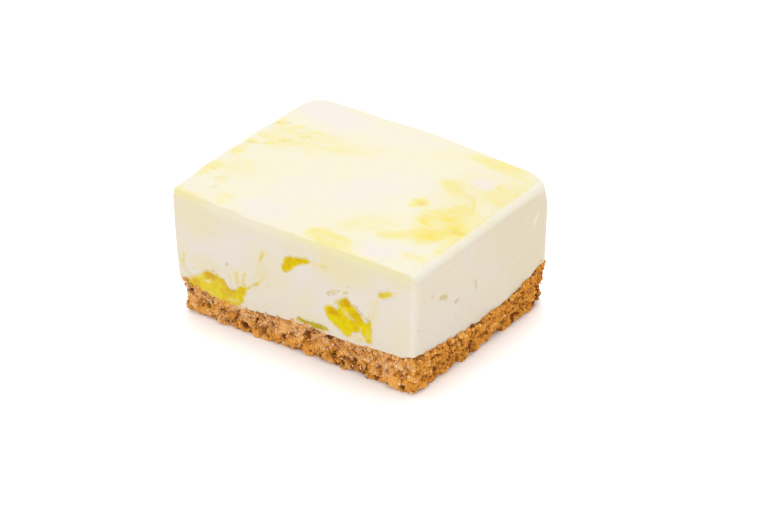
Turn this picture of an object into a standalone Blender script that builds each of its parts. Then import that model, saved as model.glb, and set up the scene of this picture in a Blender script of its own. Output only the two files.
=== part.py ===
"""A square of lemon cheesecake, cut from the end of a tray.

Three kinds of piece: the crumb base, the cheese filling on it, and the lemon curd that shows where
the knife went through. Metres, +Z up. The origin is on the underside, below the middle. The cut
faces -Y. The upright corner at -X and +Y has the tray's rounding.
"""

import math
import random

import bmesh
import bpy
from mathutils import Euler, Matrix, Vector, noise

MM = 0.001

# Whole square
LENGTH = 76.0 * MM
DEPTH = 60.6 * MM
HALF_LENGTH = LENGTH / 2
HALF_DEPTH = DEPTH / 2
HEIGHT_CUT_LEFT = 36.4 * MM
HEIGHT_CUT_RIGHT = 34.9 * MM
HEIGHT_TRAY_LEFT = 39.3 * MM
HEIGHT_TRAY_RIGHT = 36.6 * MM
LEAN_HEIGHT = 36.0 * MM      # height over which the sides lean
RIGHT_LEAN_AT_CUT = 1.3 * MM     # lean of the right side, inwards to the underside
RIGHT_LEAN_AT_BACK = 0.4 * MM
LEFT_LEAN = 1.2 * MM
BACK_LEAN = 0.4 * MM
CUT_LEAN = 0.9 * MM
CUT_SKEW = 0.6 * MM          # the cut stands forward at -X and back at +X by this much
LEFT_BOW = 1.3 * MM          # the left side's top edge bows out in the middle
LEFT_BELLY = 0.5 * MM        # and the side swells at half its height
RIGHT_CORNER = 2.1 * MM      # radius of the upright corner at +X and +Y
LEFT_CORNER = 5.6 * MM       # and of the one at -X and +Y
RIGHT_FILLET = 3.0 * MM      # soft edge of the top along the right, back and left sides
BACK_FILLET = 0.9 * MM
LEFT_FILLET = 0.4 * MM
GAP = 0.3 * MM               # clearance between neighbouring pieces
CLOSE = 0.1 * MM             # nearer than this counts as on the surface

# Height of the crumb base where the cheese begins, and its swells: x, y, rise, spread in mm
BASE_LEVEL = 8.8 * MM
BASE_SWELLS = (
    (-38, -31, 1.5, 4.5),
    (-21, -30, -1.6, 7),
    (5, -30, 1.1, 5),
    (33, -29, 1.7, 9),
    (38, -1, -0.5, 6),
    (38, 10, 0.5, 4),
    (38, 28, 3.4, 6),
    (12, 30, -0.9, 7),
    (-18, 30, 1.3, 8),
    (-38, 24, 1.6, 6),
    (-38, 2, -1.1, 8),
)

# The same for the top of the cheese
TOP_SWELLS = (
    (-8, -30, -0.7, 11),
    (2, 32, 1.1, 15),
    (20, 8, 0.35, 14),
    (-20, 14, -0.3, 12),
    (8, -14, -0.25, 9),
)

# Where the cheese block is divided, in mm, closer together where it is rounded
CHEESE_CUTS_X = (-37.6, -36.6, -35, -32.4, -27, -21, -15, -9, -3, 3, 9, 15, 21, 27, 32, 35, 35.9, 37.1)
CHEESE_CUTS_Y = (-25, -19, -13, -7, -1, 5, 11, 17, 21, 24.7, 27, 28.2, 29.4)
CHEESE_CUTS_UP = (0.3, 0.6, 0.885, 0.95, 0.985)

# Crumbs of the base
SEED = 41
CORE_INSET = 1.4 * MM
CORE_TOP = 15.0 * MM
CORE_DIVISIONS_X = 18
CORE_DIVISIONS_Y = 15
CORE_LEVELS = (0.14, 0.32, 0.5, 0.68)
CORE_GRAIN = 2.2 * MM
CORE_ROUGHNESS = 0.6 * MM
CRUMB_PITCH = 2.3 * MM
CRUMB_ROWS = (1.2, 3.2, 5.2, 7.2, 9.2, 11.2)
ROW_SHIFT = 1.5 * MM         # every second row is moved along the side by this much
CRUMB_SLIDE = 0.9 * MM       # most that chance moves a crumb along the side
CRUMB_LIFT = 0.7 * MM        # and up or down
CRUMB_RADIUS_LOW = 0.85 * MM
CRUMB_RADIUS_HIGH = 1.95 * MM
CRUMB_SINK_LOW = 0.75        # share of its radius that a crumb's middle lies behind the side's plane
CRUMB_SINK_HIGH = 1.0
LOWEST_SHARE = 0.75          # a crumb's middle is no lower than this share of its radius
PACK_GRAIN = 0.42 * MM       # finest grain left where the crumbs are packed together
BASE_TRIANGLES = 7200
FLOOR_SLAB = 20 * MM         # thickness of the slab that levels the foot

# Larger lumps at the foot of the front corner, and crumbs that climb at two corners: x, y, z, radius in mm
SINGLE_CRUMBS = (
    (30.4, -27.9, 2.0, 2.2),
    (34.3, -27.6, 2.0, 2.1),
    (36.2, -25.0, 2.2, 1.9),
    (-35.3, -28.2, 8.6, 1.7),
    (-35.6, -26.4, 9.8, 1.4),
    (-35.2, -28.2, 6.4, 1.8),
    (35.4, -27.5, 8.6, 1.8),
    (36.0, 23.2, 10.4, 1.9),
    (35.9, 27.0, 11.0, 2.1),
    (37.0, 28.2, 13.2, 1.4),
    (37.4, 28.5, 15.1, 1.0),
    (34.2, 28.7, 11.4, 1.8),
    (36.0, 27.6, 8.4, 2.0),
    (35.8, 27.6, 5.2, 1.9),
)

# The hollow at the foot of the right side: x, y, z, radius in mm
FOOT_NOTCH = (37.2, 6.4, -0.6, 2.6)

# Lemon curd at the cut: outline as x, z in mm, depth into the cheese, drift at its inner end as x, z
CURD = {
    "curd_left": {
        "outline": (
            (-35.5, 10.7), (-33.4, 11.6), (-30.8, 13.2), (-28.3, 14.8), (-26.0, 15.0), (-24.0, 13.7),
            (-22.0, 11.8), (-20.1, 10.8), (-18.6, 11.6), (-17.6, 13.6), (-16.0, 14.3), (-15.4, 12.4),
            (-16.2, 6.0), (-22.0, 6.0), (-28.0, 6.0), (-33.4, 6.0),
        ),
        "depth": 27 * MM,
        "drift": (5.0, 1.5),
        "steps": 2,
        "rings": 4,
    },
    "curd_upper": {
        "outline": (
            (-2.8, 25.4), (-1.8, 27.7), (1.0, 28.2), (4.8, 29.2), (6.2, 28.6), (3.4, 27.3), (1.1, 25.9),
            (-0.2, 24.4), (-2.0, 23.3), (-3.3, 23.8),
        ),
        "depth": 14 * MM,
        "drift": (-2.0, 1.0),
        "steps": 2,
        "rings": 3,
    },
    "curd_right": {
        "outline": (
            (9.8, 17.0), (11.5, 18.1), (13.1, 17.9), (14.2, 17.6), (14.5, 20.0), (15.8, 21.7), (17.6, 22.2),
            (18.8, 20.6), (21.0, 18.6), (23.7, 16.6), (24.1, 14.5), (24.7, 12.6), (24.2, 11.2), (20.4, 10.7),
            (17.3, 10.9), (14.8, 11.8), (12.6, 13.4), (11.0, 15.1),
        ),
        "depth": 36 * MM,
        "drift": (-7.0, 2.5),
        "steps": 2,
        "rings": 4,
    },
    "curd_foot": {
        "outline": (
            (0.8, 8.6), (1.6, 10.8), (3.4, 11.4), (5.4, 11.3), (7.4, 11.6), (9.4, 11.4), (11.0, 10.6),
            (10.0, 8.6),
        ),
        "depth": 10 * MM,
        "drift": (-1.0, 0.2),
        "steps": 2,
        "rings": 2,
    },
    "curd_dab": {
        "outline": (
            (26.2, 26.2), (27.8, 27.5), (29.6, 28.1), (31.6, 28.1), (30.4, 26.9), (29.0, 26.0), (27.2, 25.6),
        ),
        "depth": 8 * MM,
        "drift": (0.5, 0.8),
        "steps": 2,
        "rings": 2,
    },
}
CURD_RECESS = 0.4 * MM       # the curd stands this far behind the cut
CURD_SHRINK = 0.62           # share of its section that a ribbon loses by its inner end
SHRINK_POWER = 1.4
DRIFT_POWER = 1.2
FIRST_RING = 0.5 * MM        # depth of the ring just behind the cut
POCKET_REACH = 2.0 * MM      # how far a pocket's cutter stands out of the cut

# Colour, roughness and metallic value of each material
FINISHES = {
    "crumb": ((0.56, 0.30, 0.11, 1.0), 0.85, 0.0),
    "cheese": ((0.93, 0.90, 0.80, 1.0), 0.5, 0.0),
    "curd": ((0.88, 0.70, 0.06, 1.0), 0.25, 0.0),
}


def clear_scene():
    for obj in list(bpy.data.objects):
        bpy.data.objects.remove(obj, do_unlink=True)


def make_collection(name):
    collection = bpy.data.collections.new(name)
    bpy.context.scene.collection.children.link(collection)
    return collection


def make_material(name):
    colour, roughness, metallic = FINISHES[name]
    material = bpy.data.materials.new(name)
    material.use_nodes = True
    shader = material.node_tree.nodes["Principled BSDF"]
    shader.inputs["Base Color"].default_value = colour
    shader.inputs["Roughness"].default_value = roughness
    shader.inputs["Metallic"].default_value = metallic
    return material


def make_object(name, bm, collection):
    mesh = bpy.data.meshes.new(name)
    bmesh.ops.recalc_face_normals(bm, faces=bm.faces)
    if bm.calc_volume(signed=True) < 0:
        bmesh.ops.reverse_faces(bm, faces=bm.faces)
    bm.to_mesh(mesh)
    bm.free()
    obj = bpy.data.objects.new(name, mesh)
    collection.objects.link(obj)
    return obj


def make_cutter(name, bm, collection):
    cutter = make_object(name, bm, collection)
    cutter.hide_render = True
    cutter.display_type = "WIRE"
    return cutter


def mix(low, high, share):
    return low + (high - low) * share


def within(value, limit):
    """Keep a value between -limit and limit."""
    return max(-limit, min(limit, value))


def swell(table, x, y):
    """The sum of the soft swells and dips of a table at one place."""
    total = 0.0
    for centre_x, centre_y, rise, spread in table:
        away = (x - centre_x * MM) ** 2 + (y - centre_y * MM) ** 2
        total += rise * MM * math.exp(-away / (2 * (spread * MM) ** 2))
    return total


def base_height(x, y):
    return BASE_LEVEL + swell(BASE_SWELLS, x, y)


def top_height(x, y):
    across = 0.5 + x / LENGTH
    along = 0.5 + y / DEPTH
    at_cut = mix(HEIGHT_CUT_LEFT, HEIGHT_CUT_RIGHT, across)
    at_tray = mix(HEIGHT_TRAY_LEFT, HEIGHT_TRAY_RIGHT, across)
    return mix(at_cut, at_tray, along) + swell(TOP_SWELLS, x, y)


def cut_plane(x, z):
    """Where the knife's cut lies, as y."""
    return -HALF_DEPTH + CUT_SKEW * x / HALF_LENGTH + CUT_LEAN * (1 - z / LEAN_HEIGHT)


def corner_radius(x):
    return RIGHT_CORNER if x > 0 else LEFT_CORNER


def past_corner(x, y):
    """How far a place lies past the centre of the nearer upright corner's arc."""
    radius = corner_radius(x)
    return abs(x) - (HALF_LENGTH - radius), y - (HALF_DEPTH - radius)


def outer_side(x, y):
    """Distance in from the nearest side that isn't the cut, the way out to it, and its fillet."""
    past_x, past_y = past_corner(x, y)
    side = math.copysign(1.0, x)
    side_fillet = RIGHT_FILLET if x > 0 else LEFT_FILLET
    if past_x > 0 and past_y > 0:
        reach = math.hypot(past_x, past_y)
        fillet = mix(side_fillet, BACK_FILLET, past_y / (past_x + past_y))
        return corner_radius(x) - reach, Vector((side * past_x / reach, past_y / reach)), fillet
    if past_x > past_y:
        return HALF_LENGTH - abs(x), Vector((side, 0.0)), side_fillet
    return HALF_DEPTH - y, Vector((0.0, 1.0)), BACK_FILLET


def round_corner(x, y):
    """Bring a square plan corner at the back onto its radius."""
    past_x, past_y = past_corner(x, y)
    if past_x <= 0 or past_y <= 0:
        return x, y
    pull = 1 - max(past_x, past_y) / math.hypot(past_x, past_y)
    return x - math.copysign(past_x * pull, x), y - past_y * pull


def lean_in(x, y, z):
    """Lean and bow the sides: full width at the top, further in towards the underside."""
    lean = 1 - z / LEAN_HEIGHT
    along = 0.5 + y / DEPTH
    share = x / HALF_LENGTH
    if x > 0:
        x_out = x - share * lean * mix(RIGHT_LEAN_AT_CUT, RIGHT_LEAN_AT_BACK, along)
    else:
        bow = LEFT_BOW * 4 * along * (1 - along) * (1 - lean)
        belly = LEFT_BELLY * 4 * lean * (1 - lean)
        x_out = x - share * (LEFT_LEAN * lean - bow - belly)
    if y > 0:
        return Vector((x_out, y - BACK_LEAN * lean * y / HALF_DEPTH, z))
    forward = -y / HALF_DEPTH
    return Vector((x_out, y + forward * (CUT_LEAN * lean + CUT_SKEW * share), z))


def cheese_point(flat, grow):
    """Place one point of the plain block, whose z runs from 0 to 1, on the cheese."""
    x, y = round_corner(flat.x, flat.y)
    low = base_height(x, y) + GAP - grow
    high = top_height(x, y)
    z = mix(low, high, flat.z)
    to_side, outward, fillet = outer_side(x, y)
    near_side = 1 - to_side / fillet
    near_top = 1 - (high - z) / fillet
    if near_side > 0 and near_top > 0:
        pull = max(near_side, near_top) / math.hypot(near_side, near_top)
        inwards = near_side * (1 - pull) * fillet
        x -= outward.x * inwards
        y -= outward.y * inwards
        z = high - fillet * (1 - near_top * pull)
    spread_x = 1 + grow / HALF_LENGTH
    spread_y = 1 + grow / HALF_DEPTH
    return lean_in(x * spread_x, y * spread_y, z)


def divided_block(size, cuts_x, cuts_y, cuts_up):
    """A block on z = 0, divided by planes across X, Y and Z."""
    bm = bmesh.new()
    bmesh.ops.create_cube(bm, size=1.0, matrix=Matrix.Translation((0, 0, 0.5)))
    bmesh.ops.scale(bm, vec=size, verts=bm.verts)
    for axis, cuts in enumerate((cuts_x, cuts_y, cuts_up)):
        normal = Vector((0, 0, 0))
        normal[axis] = 1
        for cut in cuts:
            every = bm.verts[:] + bm.edges[:] + bm.faces[:]
            bmesh.ops.bisect_plane(bm, geom=every, dist=1e-7, plane_co=normal * cut, plane_no=normal)
    return bm


def cheese_block(grow):
    """The whole cheese without its pockets, larger all round by grow."""
    bm = divided_block(
        (LENGTH, DEPTH, 1.0),
        [cut * MM for cut in CHEESE_CUTS_X],
        [cut * MM for cut in CHEESE_CUTS_Y],
        CHEESE_CUTS_UP,
    )
    for vert in bm.verts:
        vert.co = cheese_point(vert.co, grow)
    return bm


def smooth_outline(points, steps):
    """A closed Catmull-Rom curve through the points, in metres."""
    count = len(points)
    curve = []
    for index in range(count):
        before, start, end, after = (Vector(points[(index + shift) % count]) for shift in (-1, 0, 1, 2))
        for step in range(steps):
            t = step / steps
            pull = 2 * start + (end - before) * t
            pull += (2 * before - 5 * start + 4 * end - after) * t ** 2
            pull += (3 * start - before - 3 * end + after) * t ** 3
            curve.append(pull * 0.5 * MM)
    return curve


def grow_outline(curve, grow):
    """Move each point of a clockwise outline out by grow, along its own normal."""
    count = len(curve)
    grown = []
    for index, point in enumerate(curve):
        along = (curve[(index + 1) % count] - curve[index - 1]).normalized()
        grown.append(point + Vector((-along.y, along.x)) * grow)
    return grown


def curd_ribbon(piece, grow, front, end, on_base):
    """Loft one ribbon of curd from the cut inwards: it narrows, drifts and ends blunt."""
    curve = grow_outline(smooth_outline(piece["outline"], piece["steps"]), grow)
    middle = sum(curve, Vector((0, 0))) / len(curve)
    drift = Vector(piece["drift"]) * MM
    bm = bmesh.new()
    rings = []
    depths = [front, max(front, 0.0) + FIRST_RING]
    for ring in range(1, piece["rings"] + 1):
        depths.append(mix(0.0, end, ring / piece["rings"]))
    for depth in depths:
        share = max(depth, 0.0) / piece["depth"]
        shrink = 1 - CURD_SHRINK * share ** SHRINK_POWER
        verts = []
        for point in curve:
            x, z = middle + (point - middle) * shrink + drift * share ** DRIFT_POWER
            y = cut_plane(x, z) + depth
            if on_base:
                z = max(z, base_height(x, y) + GAP)
            verts.append(bm.verts.new((x, y, z)))
        rings.append(verts)
    count = len(curve)
    for near, far in zip(rings, rings[1:]):
        for index in range(count):
            after = (index + 1) % count
            bm.faces.new((near[index], near[after], far[after], far[index]))
    bm.faces.new(rings[0])
    bm.faces.new(rings[-1])
    return bm


def side_walk(pitch):
    """Points evenly apart along the four sides, before they lean, with the way out at each."""
    near = Vector((-HALF_LENGTH, -HALF_DEPTH))
    corners = (near, near + Vector((LENGTH, 0)), -near, near + Vector((0, DEPTH)), near)
    walk = []
    for start, end in zip(corners, corners[1:]):
        run = end - start
        count = round(run.length / pitch)
        outward = Vector((run.y, -run.x)).normalized()
        for index in range(count):
            place = start + run * (index + 0.5) / count
            walk.append((Vector(round_corner(place.x, place.y)), outward))
    return walk


def add_crumb(name, centre, radius, draw, collection):
    """One rough crumb: an icosphere, pressed, turned and dented by the seeded draw."""
    bm = bmesh.new()
    bmesh.ops.create_icosphere(bm, subdivisions=1, radius=radius)
    squeeze = Vector((draw.uniform(0.8, 1.25), draw.uniform(0.8, 1.15), draw.uniform(0.7, 1.1)))
    turn = Euler([draw.uniform(0, math.tau) for _ in range(3)]).to_matrix()
    for vert in bm.verts:
        dented = vert.co * draw.uniform(0.84, 1.14)
        pressed = Vector([part * press for part, press in zip(dented, squeeze)])
        vert.co = turn @ pressed + centre
    return make_object(name, bm, collection)


def even_cuts(half, divisions):
    return [mix(-half, half, step / divisions) for step in range(1, divisions)]


def crumb_core(collection):
    """The packed inside of the base, behind its loose face of crumbs."""
    cuts_x = even_cuts(HALF_LENGTH, CORE_DIVISIONS_X)
    cuts_y = even_cuts(HALF_DEPTH, CORE_DIVISIONS_Y)
    bm = divided_block((LENGTH, DEPTH, CORE_TOP), cuts_x, cuts_y, [CORE_TOP * share for share in CORE_LEVELS])
    for vert in bm.verts:
        x, y = round_corner(vert.co.x, vert.co.y)
        at_side = min(outer_side(x, y)[0], y + HALF_DEPTH) < CLOSE
        inset_x = x * (1 - CORE_INSET / HALF_LENGTH)
        inset_y = y * (1 - CORE_INSET / HALF_DEPTH)
        vert.co = lean_in(inset_x, inset_y, vert.co.z)
        if at_side and vert.co.z > CLOSE:
            vert.co += noise.noise_vector(vert.co / CORE_GRAIN) * CORE_ROUGHNESS
    return make_object("crumb_base", bm, collection)


def scatter_crumbs(collection):
    """Crumbs in loose rows along all four sides, and the single ones that are placed by hand."""
    draw = random.Random(SEED)
    number = 0
    for row, level in enumerate(CRUMB_ROWS):
        for place, outward in side_walk(CRUMB_PITCH):
            radius = draw.uniform(CRUMB_RADIUS_LOW, CRUMB_RADIUS_HIGH)
            slide = draw.uniform(-CRUMB_SLIDE, CRUMB_SLIDE) + (row % 2) * ROW_SHIFT
            height = level * MM + draw.uniform(-CRUMB_LIFT, CRUMB_LIFT)
            sink = draw.uniform(CRUMB_SINK_LOW, CRUMB_SINK_HIGH) * radius
            moved = place + Vector((-outward.y, outward.x)) * slide
            flat_x = within(moved.x, HALF_LENGTH - sink)
            flat_y = within(moved.y, HALF_DEPTH - sink)
            flat_x, flat_y = round_corner(flat_x, flat_y)
            if height > base_height(flat_x, flat_y):
                continue
            centre = lean_in(flat_x, flat_y, max(height, radius * LOWEST_SHARE))
            add_crumb(f"crumb_{number}", centre, radius, draw, collection)
            number += 1
    for x, y, z, radius in SINGLE_CRUMBS:
        add_crumb(f"crumb_{number}", Vector((x, y, z)) * MM, radius * MM, draw, collection)
        number += 1


def apply_modifiers(obj):
    """Bake an object's modifiers into its mesh."""
    depsgraph = bpy.context.evaluated_depsgraph_get()
    baked = bpy.data.meshes.new_from_object(obj.evaluated_get(depsgraph))
    obj.modifiers.clear()
    obj.data = baked
    baked.name = obj.name


def keep_main_body(obj):
    """Drop loose scraps and the walls of sealed hollows, and keep the largest body."""
    bm = bmesh.new()
    bm.from_mesh(obj.data)
    waiting = set(bm.faces)
    bodies = []
    while waiting:
        body = set()
        edge_of_search = [waiting.pop()]
        while edge_of_search:
            face = edge_of_search.pop()
            body.add(face)
            for edge in face.edges:
                for neighbour in edge.link_faces:
                    if neighbour in waiting:
                        waiting.remove(neighbour)
                        edge_of_search.append(neighbour)
        bodies.append(body)
    bodies.sort(key=len)
    scraps = [face for body in bodies[:-1] for face in body]
    if scraps:
        bmesh.ops.delete(bm, geom=scraps, context="FACES")
    bm.to_mesh(obj.data)
    bm.free()


def pack_together(base):
    """Close the hairline hollows between the crumbs, and thin the surface to what the crumbs need."""
    closed = base.modifiers.new("packed", "REMESH")
    closed.mode = "VOXEL"
    closed.voxel_size = PACK_GRAIN
    apply_modifiers(base)
    keep_main_body(base)
    base.data.calc_loop_triangles()
    thinned = base.modifiers.new("thinned", "DECIMATE")
    thinned.ratio = BASE_TRIANGLES / len(base.data.loop_triangles)
    apply_modifiers(base)


def cut_from(obj, cutter):
    modifier = obj.modifiers.new(cutter.name, "BOOLEAN")
    modifier.operation = "DIFFERENCE"
    modifier.object = cutter
    return modifier


def build_base(parts, cutters):
    """Join core and crumbs in one solid, level its foot and seat the cheese in it."""
    base = crumb_core(parts)
    crumbs = make_collection("crumbs")
    scatter_crumbs(crumbs)
    union = base.modifiers.new("crumbs", "BOOLEAN")
    union.operation = "UNION"
    union.operand_type = "COLLECTION"
    union.collection = crumbs
    union.solver = "MANIFOLD"
    apply_modifiers(base)
    for crumb in list(crumbs.objects):
        bpy.data.objects.remove(crumb, do_unlink=True)
    bpy.data.collections.remove(crumbs)
    pack_together(base)

    floor = bmesh.new()
    slab_size = Matrix.Diagonal((2 * LENGTH, 2 * DEPTH, FLOOR_SLAB, 1))
    slab_place = Matrix.Translation((0, 0, -FLOOR_SLAB / 2))
    bmesh.ops.create_cube(floor, size=1.0, matrix=slab_place @ slab_size)
    notch = bmesh.new()
    x, y, z, radius = (value * MM for value in FOOT_NOTCH)
    bmesh.ops.create_icosphere(notch, subdivisions=1, radius=radius, matrix=Matrix.Translation((x, y, z)))
    tools = (
        make_cutter("floor_cut", floor, cutters),
        make_cutter("notch_cut", notch, cutters),
        make_cutter("cheese_seat", cheese_block(GAP), cutters),
    )
    for tool in tools:
        cut_from(base, tool).solver = "MANIFOLD"
    apply_modifiers(base)
    for tool in tools:
        bpy.data.objects.remove(tool, do_unlink=True)
    keep_main_body(base)
    base.data.materials.clear()
    base.data.materials.append(make_material("crumb"))


def build_cheese(parts, cutters):
    """The cheese block with a pocket for each ribbon of curd."""
    cheese = make_object("cheese_filling", cheese_block(0.0), parts)
    cheese.data.materials.append(make_material("cheese"))
    for name, piece in CURD.items():
        pocket = curd_ribbon(piece, GAP / 2, -POCKET_REACH, piece["depth"] + GAP, False)
        cut_from(cheese, make_cutter(f"{name}_pocket", pocket, cutters))


def build_curd(parts):
    material = make_material("curd")
    for name, piece in CURD.items():
        ribbon = curd_ribbon(piece, -GAP / 2, CURD_RECESS, piece["depth"], True)
        make_object(name, ribbon, parts).data.materials.append(material)


def main():
    clear_scene()
    parts = make_collection("lemon_cheesecake")
    cutters = make_collection("cutters")
    build_base(parts, cutters)
    build_cheese(parts, cutters)
    build_curd(parts)


main()
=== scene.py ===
import math

import bpy
import numpy as np
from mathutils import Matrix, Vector, kdtree, noise


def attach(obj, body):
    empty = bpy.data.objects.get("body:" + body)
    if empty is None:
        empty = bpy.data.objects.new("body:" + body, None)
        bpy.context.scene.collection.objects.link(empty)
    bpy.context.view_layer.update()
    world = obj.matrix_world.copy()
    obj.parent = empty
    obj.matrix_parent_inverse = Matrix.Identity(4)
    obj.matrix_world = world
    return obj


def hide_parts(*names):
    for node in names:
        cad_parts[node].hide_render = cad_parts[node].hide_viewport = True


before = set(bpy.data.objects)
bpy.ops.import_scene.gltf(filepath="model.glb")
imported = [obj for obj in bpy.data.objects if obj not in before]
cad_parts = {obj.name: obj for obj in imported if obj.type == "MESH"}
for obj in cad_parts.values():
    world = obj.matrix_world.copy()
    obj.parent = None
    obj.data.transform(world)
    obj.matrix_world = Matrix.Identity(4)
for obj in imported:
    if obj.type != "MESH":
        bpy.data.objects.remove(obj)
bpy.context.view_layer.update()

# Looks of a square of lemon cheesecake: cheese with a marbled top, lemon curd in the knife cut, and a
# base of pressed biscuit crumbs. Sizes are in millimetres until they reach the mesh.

MM = 0.001

# The square, as its solids have it
HALF_LENGTH = 38.0
HALF_DEPTH = 30.3
TOP_LEVEL = 36.0
CUT_LEAN = 0.9                # the cut's foot stands back by this much
CUT_SKEW = 0.6                # and its left end forward, its right end back
RIGHT_LEAN_NEAR = 1.3         # the right side's foot stands in by this at its near end
RIGHT_LEAN_FAR = 0.4          # and by this at its far end
FAR_CORNER = (HALF_LENGTH, HALF_DEPTH, TOP_LEVEL)
TOWARDS_CUT = (0.0, -1.0, 0.0)
TOWARDS_RIGHT = (1.0, 0.0, 0.0)
CUT_ZONE = 3.0                # what lies less than this behind the cut's plane belongs to the cut

# How the pieces meet, and how their edges are softened
SETTLING = 0.42               # the cheese's underside comes down by this, to close the solids' clearance
EDGE_WIDTH = 3.2              # how wide the softened edges are
EDGE_ROUNDS = 60              # and how many rounds of smoothing they get
UPPER_SOFTNESS = 0.75         # the share of it that the cut's upper edge gets
CORNER_REACH = 6.2            # how far around it the far corner of the top is rounded off
CORNER_DEPTH = 0.8            # and how deep
CURD_SWELL = 1.00             # the curd is this much fuller than its solid
CURD_FRAY = 0.10              # how far its edge at the cut wanders
CURD_PROUD = 0.07             # and how far it stands out of the cut
CURD_DIP = 0.40               # how far its rim dips under the cheese
DIP_WIDTH = 0.4               # and over what width
CURD_EDGE = 0.45              # how softly curd and cheese meet
RIM_DEPTH = 0.8               # how deep the rounding at the rims of the pockets goes

# How finely each piece is worked
CHEESE_GRAIN = 0.45
CURD_GRAIN = 0.32
BASE_GRAIN = 0.42
CHEESE_KEPT = 0.15            # the share of the faces that is kept where they are hidden
BASE_KEPT = 0.08
SHARP_ANGLE = 40

# Each dab below: its place, half length, half width, turn in degrees and strength

# Marbling of the top: dabs at x and y, first of curd yellow
STREAK_TURN = 36
TOP_TINT = 0.22               # the least of it
TOP_YOLK = (
    (-31, 6, 8, 8, 0, 0.5),
    (-20, 9, 12, 7, 20, 0.5),
    (-8, 13, 8, 4.5, 30, 0.42),
    (-29.5, 6, 2.2, 1.5, 20, 0.68),
    (-32, 2.3, 2.4, 1.3, 20, 0.72),
    (-36.5, 12.5, 2.6, 2.2, 20, 0.64),
    (-36.5, 4.5, 2, 2.2, 0, 0.68),
    (-36.8, -0.8, 2.4, 1.4, 20, 0.72),
    (-26, 12.5, 3, 2, 30, 0.6),
    (-31.5, 12.5, 2.6, 1.4, 30, 0.54),
    (-36.5, -6, 2.5, 4, 0, 0.6),
    (-37, -17, 2.6, 5, 0, 0.68),
    (-30, -13, 8, 7, 0, 0.46),
    (-30.5, -20.5, 3.5, 1.8, 20, 0.46),
    (-24, -27, 4, 3, 0, 0.52),
    (-34.5, -30, 7, 1.6, 0, 0.62),
    (-20, -8, 9, 8, 30, 0.26),
    (29, -6, 9.5, 10, 36, 0.8),
    (33.5, -6, 4.2, 3.8, 0, 1),
    (28.5, -12, 5.8, 4.2, 36, 0.92),
    (24, -6.5, 2.6, 3.6, 36, 0.78),
    (29, -3, 3, 2, 36, 0.9),
    (36.8, 2, 2.4, 5, 0, 0.84),
    (29, 2, 6, 5, 0, 0.66),
    (18, -0.4, 3.2, 2.6, 20, 0.84),
    (20, 11.5, 4.2, 3.6, 0, 0.68),
    (27, 12, 11, 12, 0, 0.52),
    (31, 15, 2.8, 4.5, 0, 0.62),
    (35, 15, 4, 9, 0, 0.56),
    (24, 27, 10, 3.6, 0, 0.7),
    (32, 24, 6, 5, 0, 0.46),
    (13, 23, 9, 5, 0, 0.36),
    (13, -16, 12, 5.5, 36, 0.48),
    (22, -16, 6, 2.8, 36, 0.72),
    (5.3, -25.8, 3.8, 3, 20, 0.76),
    (12, -27.4, 8, 3.8, 0, 0.76),
    (20, -30, 8, 1.4, 0, 0.6),
    (32, -22, 5, 3, 0, 0.56),
    (36, -14, 2.5, 6, 0, 0.62),
)
TOP_WHITE = (
    (25.5, 17.2, 3.6, 2.9, 20, 1),
    (22.5, -25, 5.2, 4, 12, 0.95),
    (27, -20.5, 4, 2, 12, 0.5),
    (3, -3, 7, 11, -30, 0.75),
    (-10.5, -12.5, 8, 8, 0, 0.4),
    (12, 5, 5, 7, -20, 0.5),
    (-13, -25, 7, 5, 10, 0.75),
    (-28, 23.5, 13, 5.6, 0, 0.95),
    (-7, 24, 12, 4, 0, 0.35),
    (-36.5, -26.5, 2.5, 3.4, 0, 0.5),
)
TOP_AMBER = (
    (-37.4, 11.8, 1, 0.4, 36, 0.34),
    (-34.5, 13.4, 0.9, 0.35, 36, 0.24),
    (-36.6, -1.1, 1.2, 0.4, 36, 0.34),
    (-33.4, 0.6, 0.9, 0.3, 36, 0.24),
    (-29.6, 5.4, 1.3, 0.4, 36, 0.3),
    (-26, 10.2, 1.1, 0.3, 36, 0.22),
    (-31.2, -19.8, 1.8, 0.5, 36, 0.18),
    (-29.6, -24, 1.4, 0.35, 56, 0.22),
    (18.8, -0.6, 1.2, 0.7, 30, 0.3),
    (34, -6.5, 1.8, 1, 30, 0.18),
    (36, 17, 1.6, 3, 0, 0.1),
    (28, 12, 12, 15, 0, 0.06),
)
# The thin curved line in the top: its points, half width and strength
TOP_LINE = (((26.4, 9.8), (28.8, 8.2), (30.3, 5.8), (31.6, 3.4)), 0.45, 0.95)

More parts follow.
